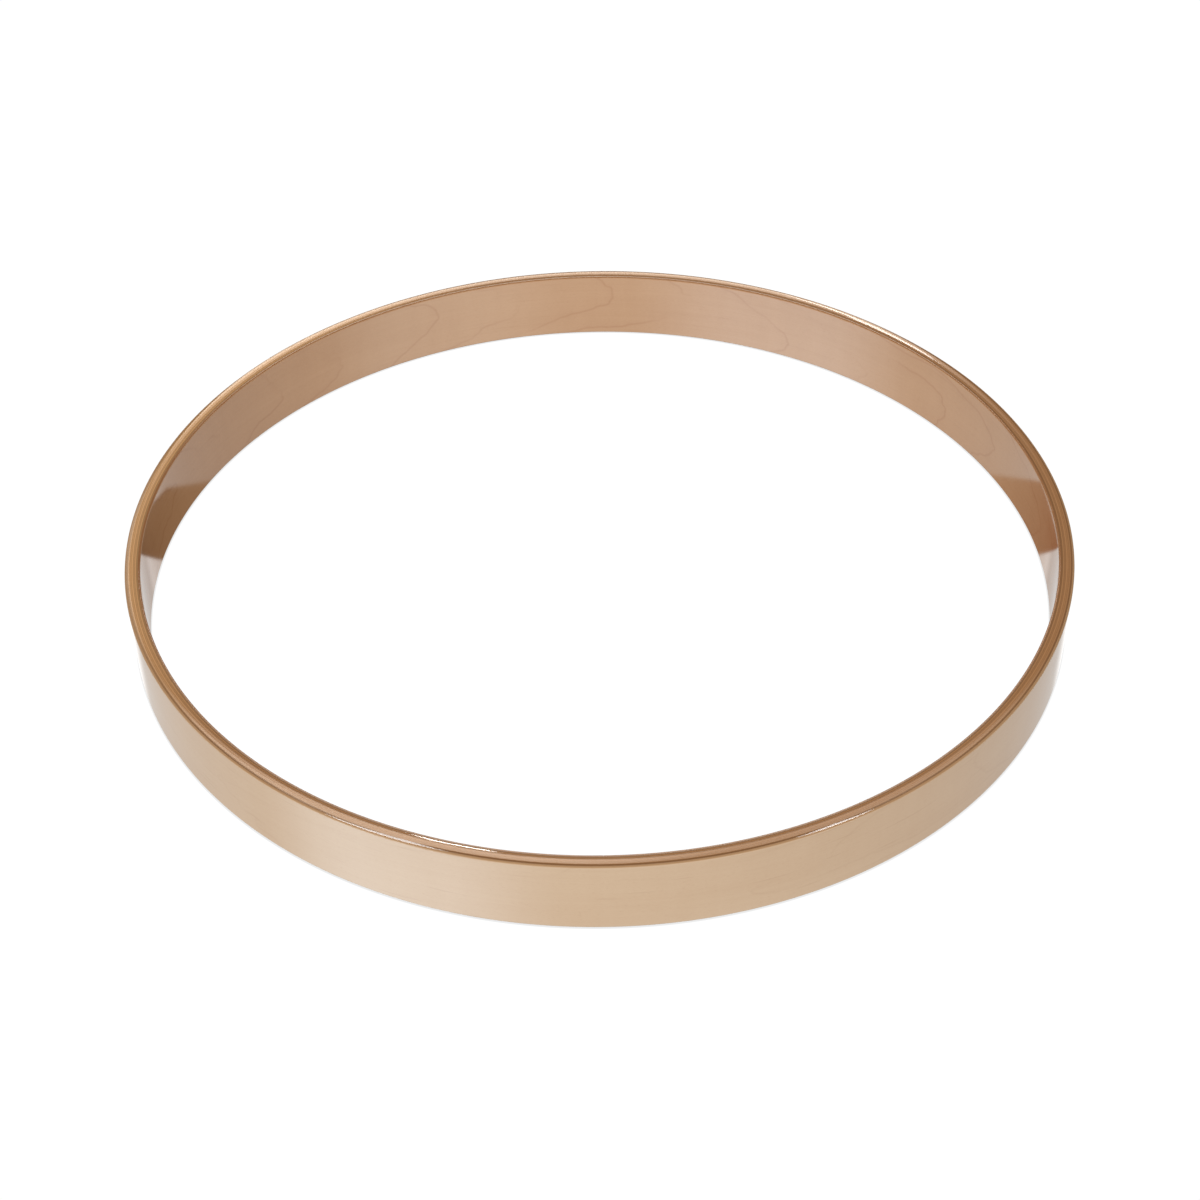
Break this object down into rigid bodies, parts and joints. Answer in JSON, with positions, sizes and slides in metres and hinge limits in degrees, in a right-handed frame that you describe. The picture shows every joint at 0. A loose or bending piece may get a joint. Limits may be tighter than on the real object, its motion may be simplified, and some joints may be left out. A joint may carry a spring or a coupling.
{
  "type": "bass drum hoop",
  "caption": "Round bass drum hoop of bent maple plies, with rounded edges and clear gloss lacquer, that clamps a head to a drum shell.",
  "frame": {"origin": "centre of the ring, on the surface that its bottom edge rests on", "axes": "+Z along the ring's axis, up from the bottom edge to the top edge; the outer face's seam is at +Y and the inner face's seam at -Y"},
  "size_m": [0.59, 0.59, 0.048],
  "materials": {
    "face_veneer": "rotary-cut maple, grain round the ring, clear gloss lacquer",
    "core_veneer": "maple seen on its long-grain edge, clear gloss lacquer",
    "cross_veneer": "maple seen on its end grain, darker, clear gloss lacquer"
  },
  "bodies": {
    "root": {"inner_face_ply": "face_veneer", "cross_ply_2_first_half": "cross_veneer", "cross_ply_2_second_half": "cross_veneer", "core_ply_3": "core_veneer", "cross_ply_4_first_half": "cross_veneer", "cross_ply_4_second_half": "cross_veneer", "core_ply_5": "core_veneer", "cross_ply_6_first_half": "cross_veneer", "cross_ply_6_second_half": "cross_veneer", "core_ply_7": "core_veneer", "cross_ply_8_first_half": "cross_veneer", "cross_ply_8_second_half": "cross_veneer", "outer_face_ply": "face_veneer"}
  },
  "joints": []
}
